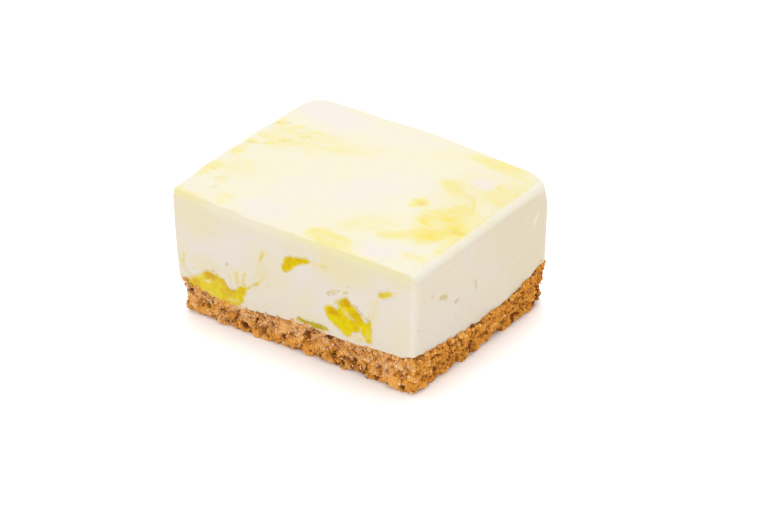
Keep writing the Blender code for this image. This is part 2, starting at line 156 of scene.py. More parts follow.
# What the cut shows, as x and z. Outlines of the curd
CURD_OUTLINES = (
    ((-35.4, 9.9), (-34.2, 11.3), (-32, 12.6), (-30.1, 13.4), (-29.2, 14.7), (-27.8, 15.3), (-25.6, 14.7),
     (-24.5, 15.5), (-23.7, 14.3), (-22.4, 14.3), (-21.5, 12.7), (-20.1, 11.8), (-18.6, 12.4), (-18.2, 13.4),
     (-17.4, 13.4), (-17, 14.3), (-16.2, 13.9), (-15.5, 15.2), (-15.4, 12.5), (-15.9, 11.4), (-16.2, 9.6),
     (-17.3, 8.6), (-20, 6), (-30, 6), (-34, 8.2)),
    ((-3.5, 23.9), (-2.5, 27), (-1.2, 28.2), (2.1, 28.9), (4.6, 29.7), (5.9, 28.7), (3.5, 27.1),
     (1.4, 25.9), (0, 24.4), (-1.8, 23)),
    ((9.7, 16.4), (10.4, 17.8), (11.8, 17.9), (13.3, 17.7), (14.4, 18.4), (14, 19.6), (14.9, 21.3),
     (16.8, 22.2), (18.2, 21), (19.1, 19.9), (19.9, 19.7), (20.8, 18.8), (21.5, 17.8), (22.6, 16.8),
     (23.3, 16.9), (23.8, 18.3), (24.2, 16.4), (24.4, 14.7), (24.1, 11.3), (23.2, 11), (21.8, 12.2),
     (20.9, 13.2), (18.9, 12.5), (17.2, 10.9), (15.2, 11.4), (13.2, 12.5), (11.4, 13.6), (10.3, 15)),
    ((0.8, 10), (1.4, 11.1), (3.4, 10.9), (6, 11.2), (8.4, 11.5), (10.4, 11), (11.2, 10.2), (6, 9.4)),
    ((26.4, 25.7), (27.1, 27), (28.8, 27.9), (30.4, 28.3), (31, 27.6), (29.8, 26.7), (28.2, 25.7)),
)
# Streaks of curd: points, half width, then how strong
CURD_STREAKS = (
    (((-15.6, 13.2), (-11.9, 16.3), (-8.3, 21.2)), 1.3, 0.13),
    (((-11.6, 17), (-10.8, 21), (-9.4, 26.6)), 1.1, 0.15),
    (((-17.6, 12.6), (-18.2, 17)), 0.9, 0.26),
    (((-16.2, 13.6), (-15.8, 17.8)), 0.8, 0.26),
    (((-20.4, 12), (-21, 15.8)), 0.7, 0.16),
    (((5, 28.8), (10.5, 28.8)), 0.9, 0.14),
    (((-15.6, 13.2), (-13.6, 15), (-11.9, 16.3), (-10.2, 18)), 0.44, 0.78),
    (((-10.2, 18), (-9, 19.4), (-8.3, 21.2)), 0.3, 0.39),
    (((-12.3, 17.8), (-11.2, 20.6), (-10.4, 23.6)), 0.34, 0.18),
    (((-10.4, 23.6), (-9.9, 25), (-9.1, 26.2)), 0.5, 0.66),
    (((-9.1, 26.2), (-7.9, 27.1)), 0.4, 0.4),
    (((-17.6, 13.2), (-18.2, 15.4), (-18.5, 17.6)), 0.44, 0.55),
    (((-16.3, 14), (-16, 16.2), (-15.5, 18.2)), 0.44, 0.58),
    (((-19.8, 12.3), (-20.6, 14.4), (-20.9, 16.2)), 0.34, 0.27),
    (((-35.8, 17.2), (-36.1, 15.6), (-36.2, 14)), 0.66, 0.55),
    (((-36, 14), (-34.4, 12.4), (-33.4, 11.6)), 0.46, 0.33),
    (((-29.9, 13.6), (-31.6, 14.4), (-33, 14.2)), 0.39, 0.24),
    (((5.2, 28.5), (7.6, 28.4), (10, 28.6)), 0.53, 0.3),
    (((30.2, 27.8), (32.6, 28.5)), 0.34, 0.3),
    (((26.8, 25.9), (25.6, 22.6), (24.6, 19.2), (24.1, 17)), 0.39, 0.27),
    (((23.4, 17.6), (23.7, 19.6)), 0.34, 0.36),
    (((15.4, 10.9), (19, 11.2), (23.4, 11.2)), 0.57, 0.62),
    (((11.2, 20.7), (11.8, 21.2)), 0.37, 0.51),
    (((11.6, 22.4), (12.8, 22.8), (13.6, 22.3)), 0.3, 0.39),
    (((13.9, 20.2), (13.2, 19)), 0.41, 0.51),
    (((19.4, 20.6), (20.4, 20.4)), 0.34, 0.54),
    (((-29.4, 15), (-30.4, 15.6)), 0.3, 0.3),
)

# Cheese that lies over the curd: dabs at x and z
CHEESE_OVER_CURD = (
    (-34, 11.4, 2.4, 1, 30, 0.4),
    (-26, 11, 9, 4, 0, 0.06),
    (-30.9, 12.7, 1.2, 0.7, 30, 0.35),
    (-27.9, 11.8, 1.1, 0.5, 10, 0.55),
    (-24.8, 14.8, 0.8, 0.5, 40, 0.35),
    (-28, 8.2, 2.6, 0.6, -8, 0.22),
    (-19.6, 8.8, 2.4, 0.5, 10, 0.25),
    (17.2, 17.2, 2.4, 0.45, -32, 0.4),
    (28.8, 27, 3, 2, 0, 0.1),
    (20.6, 13.6, 1.6, 0.5, 60, 0.3),
    (19.9, 12.2, 1.9, 0.55, 8, 0.55),
    (21.9, 18, 1, 0.4, -42, 0.85),
    (23, 13.4, 0.3, 1.2, 0, 0.3),
)

# Marks in the cut. Each: points, half width, then how yellow, how amber and how deep
CUT_MARKS = (
    (((-28, 17.2), (-26.8, 17.9), (-25.4, 17.4), (-24.6, 16.2)), 0.3, 0.12, 0.05, 0.08),
    (((-26.8, 26), (-25, 27)), 0.28, 0.05, 0.04, 0.06),
    (((-26.6, 27), (-25.2, 27.6)), 0.24, 0.05, 0.03, 0.06),
    (((-21.7, 18.9), (-20.9, 19.4)), 0.42, 0.1, 0.5, 0.1),
    (((-8.2, 17.3), (-7.5, 17.1)), 0.32, 0.3, 0.22, 0.08),
    (((11, 21.6), (12.6, 22.8), (13.8, 22.6)), 0.28, 0.3, 0.1, 0.06),
    (((14.6, 24), (15.8, 23.6)), 0.3, 0.1, 0.04, 0.06),
    (((17, 25.2), (17.7, 25.7)), 0.28, 0.2, 0.24, 0.06),
    (((16, 23), (17.1, 23.6)), 0.42, 0.9, 0.5, 0.08),
)
# Broad warm tints of the cut, from curd that was stirred in: dabs at x and z
CUT_TINTS = (
    (-33, 36.4, 6, 2, -2, 0.9),
    (-31, 31, 9, 8, 0, 0.5),
    (-36.5, 18, 2.5, 8, 0, 0.3),
    (-14, 33.5, 14, 4, -2, 0.3),
    (16, 31, 10, 7, 0, 0.62),
    (32, 33, 6, 4, 0, 0.45),
    (10.4, 31, 1.7, 5, 8, 0.8),
    (14, 26, 1.5, 4, 35, 0.6),
    (-8, 21, 8, 9, 0, 0.36),
    (2, 30.8, 5, 1.6, 8, 0.4),
    (-28, 17, 7, 2.5, 0, 0.44),
    (-18, 16.5, 4, 3, 0, 0.46),
    (3, 17, 3, 6, -40, 0.3),
    (5, 12.4, 7, 1.2, 0, 0.3),
    (25, 21, 2, 6, -10, 0.4),
    (33, 18, 4, 9, 0, 0.2),
)
# The yellow band below the cut's upper edge: how deep it reaches and how strong it is
BAND_DEPTH = 3.6
BAND_STRENGTH = 0.36
# The paler rims, painted highlights on the rounded edges: how far from the edge, and how strong
RIM_REACH = 1.5
FRONT_RIM_HIGHLIGHT = 0.42
UPPER_RIM_HIGHLIGHT = 0.75
EDGE_REACH = 1.9              # the yellow of the cut's upper edge, made lighter as a painted highlight, and how strong it is along x
EDGE_PLACES = (-38.0, -32.0, -26.0, -10.0, 2.0, 18.0, 30.0, 38.0)
EDGE_STRENGTHS = (0.95, 0.80, 0.15, 0.15, 0.60, 0.80, 0.45, 0.30)
HIGHLIGHT_REACH = 3.0              # the paler part of that edge, a painted highlight, in the same way
EDGE_HIGHLIGHTS = (0.0, 0.0, 0.45, 0.55, 0.20, 0.0, 0.0, 0.0)
NICK = (23.4, 27.7, 1.9, 0.5, 52, 1.0)    # a light nick in the right side, as y and z

# Flecks in the right side, as y and z: given as the marks in the cut are. The last, broad one only makes the
# far part of the side warmer and a little darker
SIDE_MARKS = (
    (((-18.4, 24), (-17.2, 23.7), (-16.1, 23)), 0.78, 0.35, 0.5, 0.35),
    (((-12.1, 19.7), (-11, 19.9)), 0.56, 0.3, 0.46, 0.3),
    (((-3.5, 21.6), (-3, 20)), 0.6, 0.3, 0.34, 0.3),
    (((-23, 26.3), (-22, 26.1)), 0.26, 0.1, 0.25, 0.2),
    (((-28.2, 19), (-27.4, 18.7)), 0.26, 0.1, 0.22, 0.2),
    (((-11.9, 14.6), (-11.2, 14.2)), 0.26, 0.1, 0.22, 0.2),
    (((-21.8, 16), (-21.3, 15.7)), 0.26, 0.1, 0.22, 0.2),
    (((-6.8, 19.3), (-6.2, 19.1)), 0.26, 0.1, 0.22, 0.2),
    (((22, 31.5), (23.6, 29.6)), 1.1, 0.2, 0.08, 0),
    (((12, 33), (26, 20)), 14, 0.1, 0.09, 0),
)

# Whiter places of the right side: dabs at y and z. The first, along the upright edge by the cut, is a
# painted highlight
SIDE_WHITE = (
    (-30.3, 22, 1.3, 14, 0, 0.8),
    (-18, 15, 12, 8, 0, 0.5),
)

# Skin of the top that is ridged: dabs at x and y
TOP_RIDGES = (
    (-30, 9, 9, 8, 20, 1),
    (-32, -18, 6, 7, 0, 0.7),
    (27, -5, 9, 10, 36, 0.6),
    (27, 12, 8, 8, 0, 0.5),
    (8, -26, 9, 4, 10, 0.6),
)

# Where torn bits of cheese cling: a line from one x and z to another, and how many
TORN_LINES = (
    ((10.6, 21.2), (13.8, 22), 7),
    ((13.4, 23.2), (15.4, 23), 6),
    ((14.3, 19.8), (13.4, 18.2), 5),
    ((19, 20.5), (22.2, 18.4), 12),
    ((22, 18.4), (23.4, 17.2), 5),
    ((16, 17.6), (17.4, 16.6), 4),
    ((18.6, 12.4), (21.4, 12.2), 5),
    ((-29.2, 15), (-25, 15.7), 7),
)
TORN_SEED = 11
FRAY_SEED = 5                 # for the noise that frays what is drawn

# Colours, linear
CREAM = (0.636, 0.561, 0.432, 1)
TOP_CREAM = (0.628, 0.600, 0.492, 1)
WHITE_CREAM = (0.625, 0.570, 0.520, 1)
# the paler cream of the painted highlights on the rounded edges, and of a real nick in the right side
HIGHLIGHT_AND_NICK_CREAM = (0.690, 0.650, 0.560, 1)
# a lighter yellow: real yellow, and partly a painted highlight on the cut's upper edge
EDGE_LEMON_AND_HIGHLIGHT = (0.682, 0.612, 0.325, 1)
LEMON = (0.636, 0.594, 0.372, 1)
WARM_CREAM = (0.640, 0.563, 0.290, 1)
YOLK = (0.640, 0.535, 0.085, 1)
AMBER = (0.480, 0.300, 0.060, 1)
CURD_LIGHT = (0.630, 0.500, 0.004, 1)
CURD_DEEP = (0.530, 0.300, 0.001, 1)
CURD_OLIVE = (0.400, 0.300, 0.020, 1)
CRUMB_DARK = (0.190, 0.050, 0.006, 1)
CRUMB_GOLD = (0.700, 0.298, 0.032, 1)
CRUMB_PALE = (0.870, 0.580, 0.230, 1)
FLOUR = (0.780, 0.550, 0.350, 1)
FLOOR = (0.975, 0.972, 0.970, 1)
FLOOR_CLOUD = (0.900, 0.900, 0.910, 1)
FLOOR_LIFT = 0.04             # a little light of its own, as in an overexposed studio

# Camera and light
CAMERA_AZIMUTH = 36.37
CAMERA_ELEVATION = 29.32
CAMERA_DISTANCE = 642.64
CAMERA_TARGET = (9.56, -4.17, 20.0)
FOCAL_PIXELS = 2500.0
PHOTO_WIDTH_PIXELS = 768
SENSOR_WIDTH = 36.0
WORLD_STRENGTH = 1.0
# Each light: name, place in metres, width in metres, watts
LIGHTS = (
    ("overhead", (-0.15, 0.25, 0.9), 0.9, 4.8),
    ("front", (0.1, -0.9, 0.55), 0.7, 1.4),
)
LIGHT_AIM = (0.0, 0.0, 0.02)
FLOOR_WIDTH = 4.0             # in metres


# Tools for shaping

def enter(mode):
    bpy.ops.object.mode_set(mode=mode)


def deselect():
    if bpy.context.object and bpy.context.object.mode != "OBJECT":
        enter("OBJECT")
    bpy.ops.object.select_all(action="DESELECT")


def pick(piece):
    """Select one piece alone and make it active."""
    deselect()
    piece.select_set(True)
    bpy.context.view_layer.objects.active = piece


def add_piece(name, mesh):
    piece = bpy.data.objects.new(name, mesh)
    bpy.context.scene.collection.objects.link(piece)
    return piece


def copy_of_node(node, name):
    """A new piece with the merged mesh of a solid."""
    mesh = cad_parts[node].data.copy()
    mesh.materials.clear()
    piece = add_piece(name, mesh)
    pick(piece)
    enter("EDIT")
    bpy.ops.mesh.select_all(action="SELECT")
    bpy.ops.mesh.remove_doubles(threshold=0.01 * MM)
    enter("OBJECT")
    return piece


def apply(piece, modifier):
    pick(piece)
    bpy.ops.object.modifier_apply(modifier=modifier.name)


def smooth(piece, rounds, group=""):
    """Soften the surface, or a weighted group of it, by that many rounds."""
    soften = piece.modifiers.new("soften", "SMOOTH")
    soften.factor = 0.5
    soften.iterations = rounds
    soften.vertex_group = group
    apply(piece, soften)


def work_fine(piece, grain, rounds):
    """Remesh a piece evenly at that grain and soften its facets."""
    remesh = piece.modifiers.new("fine", "REMESH")
    remesh.mode = "VOXEL"
    remesh.voxel_size = grain * MM
    apply(piece, remesh)
    smooth(piece, rounds)


def ripple(piece, name, size, height, group=""):
    """Push the surface, or a weighted group of it, in and out by a soft noise of that size."""
    texture = bpy.data.textures.new(name, "CLOUDS")
    texture.noise_scale = size * MM
    texture.noise_depth = 2
    displace = piece.modifiers.new(name, "DISPLACE")
    displace.texture = texture
    displace.texture_coords = "LOCAL"
    displace.strength = height * MM
    displace.mid_level = 0.5
    displace.vertex_group = group
    apply(piece, displace)
    bpy.data.textures.remove(texture)


def press(piece, depth, group=""):
    """Press the surface, or a weighted group of it, straight in, or out where the depth is negative."""
    displace = piece.modifiers.new("press", "DISPLACE")
    displace.strength = -depth * MM
    displace.mid_level = 0.0
    displace.vertex_group = group
    apply(piece, displace)


def faces_of(piece):
    """Centres in mm, normals and areas of a piece's faces."""
    mesh = piece.data
    centre = np.empty(len(mesh.polygons) * 3)
    normal = np.empty(len(mesh.polygons) * 3)
    area = np.empty(len(mesh.polygons))
    mesh.polygons.foreach_get("center", centre)
    mesh.polygons.foreach_get("normal", normal)
    mesh.polygons.foreach_get("area", area)
    return centre.reshape(-1, 3) / MM, normal.reshape(-1, 3), area


def select_faces(piece, wanted):
    """Enter edit mode with just the faces that the test wants: it gets their centres and normals."""
    pick(piece)
    chosen = wanted(*faces_of(piece)[:2])
    enter("EDIT")
    bpy.ops.mesh.select_mode(type="FACE")
    bpy.ops.mesh.select_all(action="DESELECT")
    enter("OBJECT")
    piece.data.polygons.foreach_set("select", chosen)
    enter("EDIT")


def thin_out(piece, wanted, kept):
    """Keep only that share of the faces that the test wants."""
    select_faces(piece, wanted)
    bpy.ops.mesh.decimate(ratio=kept)
    enter("OBJECT")


def points_of(piece):
    """Places in mm and normals of a piece's points."""
    mesh = piece.data
    place = np.empty(len(mesh.vertices) * 3)
    normal = np.empty(len(mesh.vertices) * 3)
    mesh.vertices.foreach_get("co", place)
    mesh.vertices.foreach_get("normal", normal)
    return place.reshape(-1, 3) / MM, normal.reshape(-1, 3)


def move_points(piece, place):
    """Put a piece's points at those places, in mm."""
    piece.data.vertices.foreach_set("co", (place * MM).ravel())
    piece.data.update()


def wobble(place, size, reach):
    """A soft random shift for each place, to fray what is drawn there."""
    return np.array([noise.noise_vector(Vector(point) / size) for point in place]) * reach


def soft_step(value):
    value = np.clip(value, 0, 1)
    return value * value * (3 - 2 * value)


def dab(flat, x, y, length, width, turn, strength):
    """How strongly a soft oval dab marks each place."""
    angle = math.radians(turn)
    dx = flat[:, 0] - x
    dy = flat[:, 1] - y
    along = (dx * math.cos(angle) + dy * math.sin(angle)) / length
    across = (dy * math.cos(angle) - dx * math.sin(angle)) / width
    return strength * soft_step(1.35 - 0.9 * np.hypot(along, across))


def strongest(flat, dabs):
    """How strongly the strongest of some dabs marks each place."""
    marked = np.zeros(len(flat))
    for each in dabs:
        marked = np.maximum(marked, dab(flat, *each))
    return marked


def away_from(flat, points):
    """How far each place lies from the line drawn through the points, in mm."""
    away = np.full(len(flat), np.inf)
    for start, end in zip(points, points[1:]):
        run = np.subtract(end, start)
        share = np.clip((flat - start) @ run / (run @ run), 0, 1)
        away = np.minimum(away, np.hypot(*(flat - start - share[:, None] * run).T))
    return away


def brush(flat, points, width):
    """How strongly a soft brush drawn along the points marks each place."""
    return soft_step(1.3 - away_from(flat, points) / width)


def inside(flat, outline):
    """How far each place lies inside a closed outline, in mm: below zero outside."""
    closed = outline + outline[:1]
    within = np.zeros(len(flat), bool)
    for start, end in zip(closed, closed[1:]):
        run = np.subtract(end, start)
        if run[1] != 0:
            crossing = start[0] + (flat[:, 1] - start[1]) * run[0] / run[1]
            level = (start[1] > flat[:, 1]) != (end[1] > flat[:, 1])
            within ^= level & (flat[:, 0] < crossing)
    away = away_from(flat, closed)
    return np.where(within, away, -away)


def curd_share(place):
    """How much curd, against cheese, the cut shows at each place."""
    frayed = place + wobble(place, 1.5, 0.34) + wobble(place, 0.6, 0.20)
    flat = frayed[:, [0, 2]]
    share = np.zeros(len(place))
    for outline in CURD_OUTLINES:
        share = np.maximum(share, soft_step(0.6 + inside(flat, outline) / CURD_EDGE))
    for patch in CHEESE_OVER_CURD:
        share *= 1 - dab(flat, *patch)
    uneven = 0.9 + 0.9 * wobble(place, 1.1, 1.0)[:, 0]
    for points, width, strength in CURD_STREAKS:
        share = np.maximum(share, np.clip(brush(flat, points, width) * strength * uneven, 0, 0.9))
    return share


def set_curd_layers(piece, place, share):
    """What the filling's finish needs: how much curd, how deep its yellow and how olive."""
    flat = (place + wobble(place, 1.2, 0.8))[:, [0, 2]]
    set_layers(piece, {
        "curd": share,
        "deep": strongest(flat, CURD_DEPTHS),
        "olive": strongest(flat, CURD_OLIVES),
    })


def set_layers(piece, layers):
    """Keep numbers for each point, for the material to read."""
    for name, values in layers.items():
        layer = piece.data.attributes.new(name, "FLOAT", "POINT")
        layer.data.foreach_set("value", values.astype(np.float32))


def set_group(piece, name, values):
    group = piece.vertex_groups.new(name=name)
    for index in np.flatnonzero(values > 0.01):
        group.add([int(index)], float(values[index]), "REPLACE")


def finish_piece(piece, material, slot):
    piece.data.materials.clear()
    piece.data.materials.append(material)
    pick(piece)
    bpy.ops.object.shade_smooth_by_angle(angle=math.radians(SHARP_ANGLE))
    deselect()
    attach(piece, "root")


# Tools for materials

class Recipe:
    """A node material with short calls for the nodes that the finishes use."""

    def __init__(self, name):
        self.material = bpy.data.materials.new(name)
        self.material.use_nodes = True
        self.tree = self.material.node_tree
        self.shader = self.tree.nodes["Principled BSDF"]
        self.place = self.tree.nodes.new("ShaderNodeTexCoord").outputs["Object"]

    def join(self, socket, value):
        """Link a socket to another one, or set its value."""
        if isinstance(value, bpy.types.NodeSocket):
            self.tree.links.new(value, socket)
        else:
            socket.default_value = value

    def feed(self, node, **inputs):
        """Join a node's inputs by name, with an underscore for each space."""
        for key, value in inputs.items():
            self.join(node.inputs[key.replace("_", " ")], value)

    def layer(self, name):
        node = self.tree.nodes.new("ShaderNodeAttribute")
        node.attribute_name = name
        return node.outputs["Fac"]

    def turned(self, turn, scale):
        """Object coordinates turned about Z and stretched."""
        node = self.tree.nodes.new("ShaderNodeMapping")
        self.feed(node, Vector=self.place, Rotation=(0, 0, -math.radians(turn)), Scale=scale)
        return node.outputs["Vector"]

    def noise(self, size, detail=3.0, roughness=0.55, distortion=0.0, vector=None):
        """A noise whose features are about that many mm."""
        node = self.tree.nodes.new("ShaderNodeTexNoise")
        self.feed(node, Vector=vector or self.place, Scale=1 / (size * MM), Detail=detail,
                  Roughness=roughness, Distortion=distortion)
        return node.outputs["Fac"]

    def ramp(self, value, low, high, out_low=0.0, out_high=1.0, kind="SMOOTHSTEP"):
        node = self.tree.nodes.new("ShaderNodeMapRange")
        node.interpolation_type = kind
        self.feed(node, Value=value, From_Min=low, From_Max=high, To_Min=out_low, To_Max=out_high)
        return node.outputs["Result"]

    def math(self, operation, first, second):
        node = self.tree.nodes.new("ShaderNodeMath")
        node.operation = operation
        self.join(node.inputs[0], first)
        self.join(node.inputs[1], second)
        return node.outputs["Value"]

    def mix(self, share, first, second):
        node = self.tree.nodes.new("ShaderNodeMix")
        node.data_type = "RGBA"
        self.feed(node, Factor=share, A=first, B=second)
        return node.outputs["Result"]

    def bump(self, height, depth, under=None):
        """A bump of that many mm."""
        node = self.tree.nodes.new("ShaderNodeBump")
        self.feed(node, Height=height, Distance=depth * MM)
        if under:
            self.feed(node, Normal=under)
        return node.outputs["Normal"]

    def surface(self, colour, roughness, **others):
        self.feed(self.shader, Base_Color=colour, Roughness=roughness, **others)
        return self.material


def filling_finish(name, glow):
    """Cheese and curd as they run into each other: the layers say which shows."""
    recipe = Recipe(name)
    streaks = recipe.noise(1.7, 5, 0.6, 0.6, recipe.turned(STREAK_TURN, (0.28, 1.0, 1.0)))
    clouds = recipe.noise(9.0, 3, 0.5, 0.4)
    yolk = recipe.math("MULTIPLY", recipe.layer("yolk"), recipe.ramp(streaks, 0.28, 0.72, 0.74, 1.20))
    colour = recipe.mix(recipe.layer("upper"), CREAM, TOP_CREAM)
    colour = recipe.mix(recipe.ramp(clouds, 0.40, 0.75, 0.0, 0.5), colour, WHITE_CREAM)
    # the white layer holds real whiter marbling, and a painted highlight along the upright edge by the cut
    colour = recipe.mix(recipe.layer("white"), colour, WHITE_CREAM)
    colour = recipe.mix(recipe.layer("warm"), colour, WARM_CREAM)
    colour = recipe.mix(recipe.ramp(yolk, 0.05, 0.55, kind="LINEAR"), colour, LEMON)
    colour = recipe.mix(recipe.ramp(yolk, 0.38, 1.12, kind="LINEAR"), colour, YOLK)
    colour = recipe.mix(recipe.layer("amber"), colour, AMBER)
    # painted highlights on the rounded edges, and a real light nick
    colour = recipe.mix(recipe.layer("rim"), colour, HIGHLIGHT_AND_NICK_CREAM)
    # the yellow of the cut's upper edge, made lighter as a painted highlight
    colour = recipe.mix(recipe.layer("upper_edge"), colour, EDGE_LEMON_AND_HIGHLIGHT)

    lumps = recipe.noise(2.4, 4, 0.6, 0.8)
    deep = recipe.math("ADD", recipe.ramp(lumps, 0.40, 0.68, 0.0, 0.55), recipe.layer("deep"))
    curd = recipe.mix(deep, CURD_LIGHT, CURD_DEEP)
    curd = recipe.mix(recipe.layer("olive"), curd, CURD_OLIVE)
    share = recipe.layer("curd")
    colour = recipe.mix(share, colour, curd)

    fine = recipe.bump(recipe.noise(0.7, 4, 0.6), 0.05)
    normal = recipe.bump(recipe.noise(3.0, 2, 0.5), 0.12, fine)
    wet = recipe.math("MULTIPLY", recipe.noise(0.9, 4, 0.6, 0.5), share)
    normal = recipe.bump(wet, 0.18, normal)
    dry = recipe.ramp(recipe.noise(1.6, 3), 0.3, 0.7, 0.42, 0.58)
    roughness = recipe.math("MULTIPLY", dry, recipe.ramp(share, 0.3, 1.0, 1.0, 0.55))
    shine = recipe.ramp(share, 0.2, 0.9, 0.35, 0.03)
    return recipe.surface(colour, roughness, Normal=normal, Specular_IOR_Level=shine, Subsurface_Weight=glow,
                          Subsurface_Radius=(1.0, 0.92, 0.8), Subsurface_Scale=0.4 * MM)


def crumb_finish():
    """Baked biscuit: dark in the gaps, as painted shade, gold, and pale where the flour shows."""
    recipe = Recipe("crumb")
    grain = recipe.noise(0.55, 4, 0.65)
    patches = recipe.noise(3.2, 3, 0.6)
    shade = recipe.layer("shade")
    tone = recipe.math("ADD", shade, recipe.ramp(grain, 0.3, 0.72, -0.28, 0.30))
    tone = recipe.math("ADD", tone, recipe.ramp(patches, 0.3, 0.7, -0.12, 0.12))
    colour = recipe.mix(recipe.ramp(tone, 0.0, 0.55), CRUMB_DARK, CRUMB_GOLD)
    colour = recipe.mix(recipe.ramp(tone, 0.60, 1.15), colour, CRUMB_PALE)
    colour = recipe.mix(recipe.layer("flour"), colour, FLOUR)
    normal = recipe.bump(recipe.noise(0.35, 4, 0.7), 0.12)
    roughness = recipe.ramp(grain, 0.3, 0.7, 0.62, 0.86)
    return recipe.surface(colour, roughness, Normal=normal, Specular_IOR_Level=0.2)


def floor_finish():
    recipe = Recipe("floor")
    soft = recipe.noise(300.0, 2, 0.5)
    colour = recipe.mix(recipe.ramp(soft, 0.3, 0.7, 0.0, 0.03), FLOOR, FLOOR_CLOUD)
    return recipe.surface(colour, 0.8, Emission_Color=colour, Emission_Strength=FLOOR_LIFT)


# Cheese

def facing_cut(normal):
    return normal[:, 1] < -0.6


def near_cut(place):
    return place[:, 1] < -HALF_DEPTH + CUT_ZONE


def share_of_cut(normal):
    """How much each normal belongs to the cut: softer than facing_cut."""
    return soft_step((-normal[:, 1] - 0.3) / 0.4)


def is_underneath(centre, normal):
    return (normal[:, 2] < -0.6) & (centre[:, 2] < 15)


def is_hidden(centre, normal):
    """The underside of the cheese and the walls of its pockets, which need fewer faces."""
    within = (np.abs(centre[:, 0]) < HALF_LENGTH - 3) & (centre[:, 2] < 32)
    within &= (centre[:, 1] > -HALF_DEPTH + 4) & (centre[:, 1] < HALF_DEPTH - 3)
    return is_underneath(centre, normal) | within


def below_edge(place, on_cut):
    """How far below the cut's upper edge each place lies, in mm."""
    stations = np.arange(-HALF_LENGTH + 2, HALF_LENGTH, 1.0)
    levels = [place[(on_cut > 0.5) & (np.abs(place[:, 0] - x) < 1.0), 2].max() for x in stations]
    return np.interp(place[:, 0], stations, levels) - place[:, 2]


def from_front_edge(place):
    """How far each place lies from the upright edge between the cut and the right side, in mm."""
    to_right = place[:, 0] - right_level(place[:, 1], place[:, 2])
    return np.hypot(to_right, place[:, 1] - cut_level(place[:, 0], place[:, 2]))


def rim_highlights_and_nick(place, normal):
    """The rounded edges, as painted highlights, and a real nick, which are a little paler than what they
    join.
    """
    upper = soft_step((normal[:, 0] - 0.30) / 0.25) * soft_step((normal[:, 2] - 0.20) / 0.25)
    rim = UPPER_RIM_HIGHLIGHT * upper * (place[:, 0] > HALF_LENGTH - 8)
    rim = np.maximum(rim, FRONT_RIM_HIGHLIGHT * soft_step(1.5 - from_front_edge(place) / RIM_REACH))
    return np.maximum(rim, dab(place[:, 1:], *NICK) * (normal[:, 0] > 0.5))


def paint_cheese(piece):
    """Lay out the cheese's colours, and the groups that its relief needs."""
    place, normal = points_of(piece)
    on_top = soft_step((normal[:, 2] - 0.25) / 0.4)
    on_cut = share_of_cut(normal)
    on_side = soft_step((normal[:, 0] - 0.3) / 0.4)
    frayed = place + wobble(place, 1.6, 0.5) + wobble(place, 5.0, 1.5)
    traced = place + wobble(place, 1.1, 0.35)
    top = frayed[:, :2]
    white = strongest(top, TOP_WHITE) * on_top
    yolk = sum(dab(top, *patch) ** 4 for patch in TOP_YOLK) ** 0.25 * on_top
    yolk = np.maximum(yolk, TOP_TINT * on_top) * (1 - 0.85 * white)
    points, width, strength = TOP_LINE
    line = brush(traced[:, :2], points, width) * strength * on_top
    yolk = np.maximum(yolk, line)
    amber = np.maximum(strongest(traced[:, :2], TOP_AMBER) * on_top, line * 0.16)
    pits = np.zeros(len(place))
    for marks, flat, on_face in (
        (CUT_MARKS, traced[:, [0, 2]], on_cut),
        (SIDE_MARKS, traced[:, [1, 2]], on_side),
    ):
        for points, width, yellow, brown, depth in marks:
            mark = brush(flat, points, width) * on_face
            yolk = np.maximum(yolk, mark * yellow)
            amber = np.maximum(amber, mark * brown)
            pits = np.maximum(pits, mark * depth)
    below = below_edge(place, on_cut)
    sunk = below + frayed[:, 2] - place[:, 2]
    # a painted highlight along part of the cut's upper edge
    pale = np.interp(frayed[:, 0], EDGE_PLACES, EDGE_HIGHLIGHTS)
    band = BAND_STRENGTH * soft_step(1.2 - sunk / BAND_DEPTH) * on_cut * (1 - pale)
    at_edge = soft_step(on_cut * 1.6)
    pale *= soft_step(1.3 - below / HIGHLIGHT_REACH) * at_edge
    along_edge = np.interp(frayed[:, 0], EDGE_PLACES, EDGE_STRENGTHS)
    set_layers(piece, {
        "yolk": np.maximum(yolk, band),
        "white": np.maximum(white, strongest(traced[:, 1:], SIDE_WHITE) * (1 - on_top)),
        "amber": amber,
        "warm": strongest(frayed[:, [0, 2]], CUT_TINTS) * on_cut,
        "rim": np.maximum(rim_highlights_and_nick(traced, normal), pale),
        "upper_edge": along_edge * soft_step(1.4 - below / EDGE_REACH) * at_edge,
        "upper": on_top,
    })
    set_curd_layers(piece, place, curd_share(place) * on_cut)
    set_group(piece, "pits", pits)
    set_group(piece, "ridged", strongest(top, TOP_RIDGES) * on_top)
    set_group(piece, "uncut", 1 - on_cut)


def flatten_cut(piece):
    """Bring all that lies just behind the knife's cut, such as the rims of the pockets, up to it."""
    place, _ = points_of(piece)
    level = cut_level(place[:, 0], place[:, 2])
    close = (place[:, 1] < level + RIM_DEPTH) & (place[:, 2] < TOP_LEVEL - 1.5)
    place[close, 1] = level[close]
    move_points(piece, place)


def soften_edges(piece):
    """Round the upright edge where the cut meets the right side, the cut's upper edge and the far corner."""
    place, normal = points_of(piece)
    upright = soft_step((EDGE_WIDTH - from_front_edge(place)) / 1.4) * (place[:, 2] < TOP_LEVEL)
    below = below_edge(place, share_of_cut(normal))
    behind = place[:, 1] - cut_level(place[:, 0], place[:, 2])
    upper = UPPER_SOFTNESS * soft_step((EDGE_WIDTH - np.hypot(below, behind)) / 1.7)
    upper *= soft_step((place[:, 0] + HALF_LENGTH - 1.5) / 3)
    far_corner = soft_step((CORNER_REACH - np.linalg.norm(place - FAR_CORNER, axis=1)) / 6)
    set_group(piece, "corner", far_corner)
    press(piece, CORNER_DEPTH, "corner")
    set_group(piece, "edge", np.max([upright, upper, np.minimum(1, 3 * far_corner)], axis=0))
    smooth(piece, EDGE_ROUNDS, "edge")


